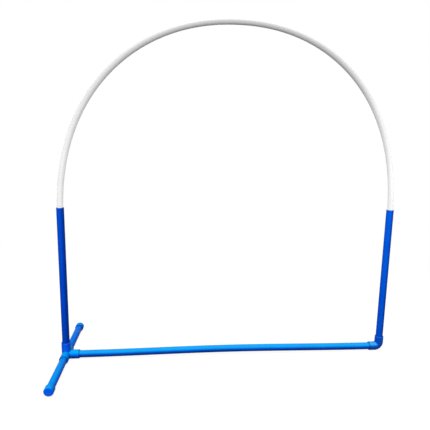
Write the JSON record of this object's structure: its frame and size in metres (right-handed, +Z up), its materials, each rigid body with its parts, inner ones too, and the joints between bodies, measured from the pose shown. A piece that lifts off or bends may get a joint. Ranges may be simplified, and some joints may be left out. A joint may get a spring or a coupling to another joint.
{
  "type": "dog agility hoop",
  "caption": "Free-standing dog agility hoop: a white plastic arch sprung between open-topped uprights on a blue pipe crossbar with a cross foot under one side.",
  "frame": {"origin": "on the floor, midway between the axes of the two uprights, at the centre of the bounding box's underside", "axes": "+Z up, +X along the crossbar from the four-way fitting towards the elbow, +Y through the hoop, away from the front foot"},
  "size_m": [1.2468, 0.5064, 1.2255],
  "materials": {
    "blue_pipe": "extruded PVC, satin gloss",
    "blue_moulded": "moulded PVC, gloss",
    "white_pipe": "extruded PVC, satin"
  },
  "bodies": {
    "base": {"four_way_fitting": "blue_moulded", "elbow": "blue_moulded", "base_pipe": "blue_pipe"},
    "left_upright": {"left_upright_pipe": "blue_pipe"},
    "right_upright": {"right_upright_pipe": "blue_pipe"},
    "arch": {"arch_pipe": "white_pipe"},
    "front_foot": {"front_foot_pipe": "blue_pipe", "front_foot_cap": "blue_moulded"},
    "rear_foot": {"rear_foot_pipe": "blue_pipe", "rear_foot_cap": "blue_moulded"}
  },
  "joints": [
    {"name": "arch_lift", "type": "slide", "parent": "base", "child": "arch", "axis": [0, 0, 1], "range_m": [0, 0.545]},
    {"name": "left_upright_pull", "type": "slide", "parent": "base", "child": "left_upright", "axis": [0, 0, 1], "range_m": [0, 0.027]},
    {"name": "right_upright_pull", "type": "slide", "parent": "base", "child": "right_upright", "axis": [0, 0, 1], "range_m": [0, 0.027]},
    {"name": "front_foot_pull", "type": "slide", "parent": "base", "child": "front_foot", "axis": [0, -1, 0], "range_m": [0, 0.03]},
    {"name": "rear_foot_pull", "type": "slide", "parent": "base", "child": "rear_foot", "axis": [0, 1, 0], "range_m": [0, 0.03]}
  ]
}
